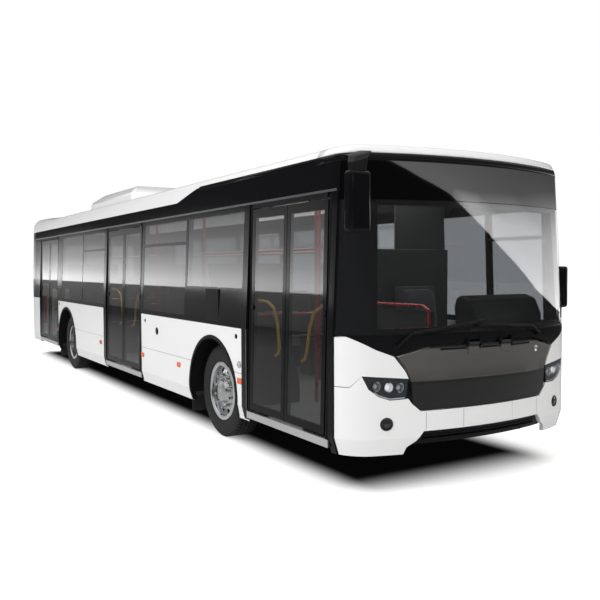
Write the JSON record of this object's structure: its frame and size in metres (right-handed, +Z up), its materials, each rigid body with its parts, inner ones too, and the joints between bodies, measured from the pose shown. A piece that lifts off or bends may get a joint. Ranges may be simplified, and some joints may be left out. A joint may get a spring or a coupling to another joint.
{
  "type": "city bus",
  "caption": "Low-floor single-deck city bus, white with a black window band, double-leaf doors on the right side, roof cooling pod and a dark front service flap.",
  "frame": {"origin": "on the ground, midway along the length and the width", "axes": "+X to the front of the bus, +Y to its left, +Z up"},
  "size_m": [11.9201, 2.795, 3.1499],
  "materials": {
    "white_paint": "gloss",
    "black_paint": "gloss",
    "dark_glass": "polished",
    "clear_glass": "polished",
    "lamp_chrome": "polished",
    "lamp_red": "gloss",
    "black_plastic": "textured",
    "floor_metal": "brushed",
    "frame_steel": "satin",
    "engine_iron": "cast",
    "seat_cloth": "woven",
    "pole_paint": "gloss",
    "door_steel": "satin",
    "rim_steel": "bright",
    "tyre_rubber": "matte"
  },
  "bodies": {
    "body": {"cross_members": "frame_steel", "driver_cab": "black_plastic", "engine_block": "engine_iron", "floor": "floor_metal", "front_axle": "frame_steel", "front_bumper": "white_paint", "front_corners": "white_paint", "front_frame": "black_paint", "front_roof_cap": "white_paint", "grab_poles": "pole_paint", "headlamps": "lamp_chrome", "lamp_lenses": "clear_glass", "mirrors": "black_plastic", "rear_axle": "frame_steel", "rear_lamps": "lamp_red", "roof": "white_paint", "roof_bands": "black_paint", "roof_pod": "white_paint", "seats": "seat_cloth", "side_panels": "white_paint", "sign_box": "black_plastic", "tail": "white_paint", "underframe": "frame_steel", "wheel_boxes": "black_plastic", "window_frames": "black_paint", "window_glass": "dark_glass", "windscreen": "clear_glass", "wipers": "black_plastic"},
    "front_flap": {"front_flap": "black_paint"},
    "engine_hatch": {"engine_hatch": "white_paint"},
    "rear_door_a_arms": {"rear_door_a_post": "door_steel"},
    "rear_door_a": {"rear_door_a_leaf": "black_paint", "rear_door_a_glass": "dark_glass"},
    "rear_door_b_arms": {"rear_door_b_post": "door_steel"},
    "rear_door_b": {"rear_door_b_leaf": "black_paint", "rear_door_b_glass": "dark_glass"},
    "middle_door_a_arms": {"middle_door_a_post": "door_steel"},
    "middle_door_a": {"middle_door_a_leaf": "black_paint", "middle_door_a_glass": "dark_glass"},
    "middle_door_b_arms": {"middle_door_b_post": "door_steel"},
    "middle_door_b": {"middle_door_b_leaf": "black_paint", "middle_door_b_glass": "dark_glass"},
    "front_door_a_arms": {"front_door_a_post": "door_steel"},
    "front_door_a": {"front_door_a_leaf": "black_paint", "front_door_a_glass": "dark_glass"},
    "front_door_b_arms": {"front_door_b_post": "door_steel"},
    "front_door_b": {"front_door_b_leaf": "black_paint", "front_door_b_glass": "dark_glass"},
    "left_knuckle": {"left_knuckle": "frame_steel"},
    "right_knuckle": {"right_knuckle": "frame_steel"},
    "tie_rod": {"tie_rod": "frame_steel"},
    "front_wheel_left": {"front_tyre_left": "tyre_rubber", "front_rim_left": "rim_steel"},
    "rear_wheels_left": {"rear_tyres_left": "tyre_rubber", "rear_rims_left": "rim_steel"},
    "front_wheel_right": {"front_tyre_right": "tyre_rubber", "front_rim_right": "rim_steel"},
    "rear_wheels_right": {"rear_tyres_right": "tyre_rubber", "rear_rims_right": "rim_steel"}
  },
  "joints": [
    {"name": "front_flap_hinge", "type": "hinge", "parent": "body", "child": "front_flap", "pos_m": [5.882, 0, 1.154], "axis": [0, -1, 0], "range_deg": [0, 75]},
    {"name": "engine_hatch_hinge", "type": "hinge", "parent": "body", "child": "engine_hatch", "pos_m": [-6.002, 0, 1.33], "axis": [0, 1, 0], "range_deg": [0, 80]},
    {"name": "rear_door_a_swing", "type": "hinge", "parent": "body", "child": "rear_door_a_arms", "pos_m": [-5.091, -1.253, 0.395], "axis": [0, 0.0266, 0.9996], "range_deg": [0, 85]},
    {"name": "rear_door_a_fold", "type": "hinge", "parent": "rear_door_a_arms", "child": "rear_door_a", "pos_m": [-4.73175, -1.253, 0.395], "axis": [0, 0.0266, 0.9996], "range_deg": [-170, 0]},
    {"name": "rear_door_b_swing", "type": "hinge", "parent": "body", "child": "rear_door_b_arms", "pos_m": [-3.654, -1.253, 0.395], "axis": [0, -0.0266, -0.9996], "range_deg": [0, 85]},
    {"name": "rear_door_b_fold", "type": "hinge", "parent": "rear_door_b_arms", "child": "rear_door_b", "pos_m": [-4.01325, -1.253, 0.395], "axis": [0, -0.0266, -0.9996], "range_deg": [-170, 0]},
    {"name": "middle_door_a_swing", "type": "hinge", "parent": "body", "child": "middle_door_a_arms", "pos_m": [-0.546, -1.253, 0.395], "axis": [0, 0.0266, 0.9996], "range_deg": [0, 85]},
    {"name": "middle_door_a_fold", "type": "hinge", "parent": "middle_door_a_arms", "child": "middle_door_a", "pos_m": [-0.16825, -1.253, 0.395], "axis": [0, 0.0266, 0.9996], "range_deg": [-170, 0]},
    {"name": "middle_door_b_swing", "type": "hinge", "parent": "body", "child": "middle_door_b_arms", "pos_m": [0.965, -1.253, 0.395], "axis": [0, -0.0266, -0.9996], "range_deg": [0, 85]},
    {"name": "middle_door_b_fold", "type": "hinge", "parent": "middle_door_b_arms", "child": "middle_door_b", "pos_m": [0.58725, -1.253, 0.395], "axis": [0, -0.0266, -0.9996], "range_deg": [-170, 0]},
    {"name": "front_door_a_swing", "type": "hinge", "parent": "body", "child": "front_door_a_arms", "pos_m": [4.038, -1.253, 0.395], "axis": [0, 0.0266, 0.9996], "range_deg": [0, 85]},
    {"name": "front_door_a_fold", "type": "hinge", "parent": "front_door_a_arms", "child": "front_door_a", "pos_m": [4.37249, -1.253, 0.395], "axis": [0, 0.0266, 0.9996], "range_deg": [-170, 0]},
    {"name": "front_door_b_swing", "type": "hinge", "parent": "body", "child": "front_door_b_arms", "pos_m": [5.37596, -1.253, 0.395], "axis": [0, -0.0266, -0.9996], "range_deg": [0, 85]},
    {"name": "front_door_b_fold", "type": "hinge", "parent": "front_door_b_arms", "child": "front_door_b", "pos_m": [5.04147, -1.253, 0.395], "axis": [0, -0.0266, -0.9996], "range_deg": [-170, 0]},
    {"name": "left_steer", "type": "hinge", "parent": "body", "child": "left_knuckle", "pos_m": [3.22, 0.925, 0.478], "axis": [0, 0, 1], "range_deg": [-40, 40]},
    {"name": "right_steer", "type": "hinge", "parent": "body", "child": "right_knuckle", "pos_m": [3.22, -0.925, 0.478], "axis": [0, 0, 1], "range_deg": [-40, 40]},
    {"name": "tie_rod_swing", "type": "hinge", "parent": "left_knuckle", "child": "tie_rod", "pos_m": [3.1, 0.925, 0.29], "axis": [0, 0, 1], "range_deg": [-40, 40]},
    {"name": "front_wheel_left_spin", "type": "hinge", "parent": "left_knuckle", "child": "front_wheel_left", "pos_m": [3.22, 1.045, 0.478], "axis": [0, 1, 0], "continuous": true},
    {"name": "rear_wheels_left_spin", "type": "hinge", "parent": "body", "child": "rear_wheels_left", "pos_m": [-2.93, 1.045, 0.478], "axis": [0, 1, 0], "continuous": true},
    {"name": "front_wheel_right_spin", "type": "hinge", "parent": "right_knuckle", "child": "front_wheel_right", "pos_m": [3.22, -1.045, 0.478], "axis": [0, 1, 0], "continuous": true},
    {"name": "rear_wheels_right_spin", "type": "hinge", "parent": "body", "child": "rear_wheels_right", "pos_m": [-2.93, -1.045, 0.478], "axis": [0, 1, 0], "continuous": true}
  ],
  "couplings": [
    {"joint": "rear_door_a_fold", "follows": "rear_door_a_swing", "ratio": -2},
    {"joint": "rear_door_b_swing", "follows": "rear_door_a_swing", "ratio": 1},
    {"joint": "rear_door_b_fold", "follows": "rear_door_a_swing", "ratio": -2},
    {"joint": "middle_door_a_fold", "follows": "middle_door_a_swing", "ratio": -2},
    {"joint": "middle_door_b_swing", "follows": "middle_door_a_swing", "ratio": 1},
    {"joint": "middle_door_b_fold", "follows": "middle_door_a_swing", "ratio": -2},
    {"joint": "front_door_a_fold", "follows": "front_door_a_swing", "ratio": -2},
    {"joint": "front_door_b_swing", "follows": "front_door_a_swing", "ratio": 1},
    {"joint": "front_door_b_fold", "follows": "front_door_a_swing", "ratio": -2},
    {"joint": "right_steer", "follows": "left_steer", "ratio": 1},
    {"joint": "tie_rod_swing", "follows": "left_steer", "ratio": -1}
  ]
}
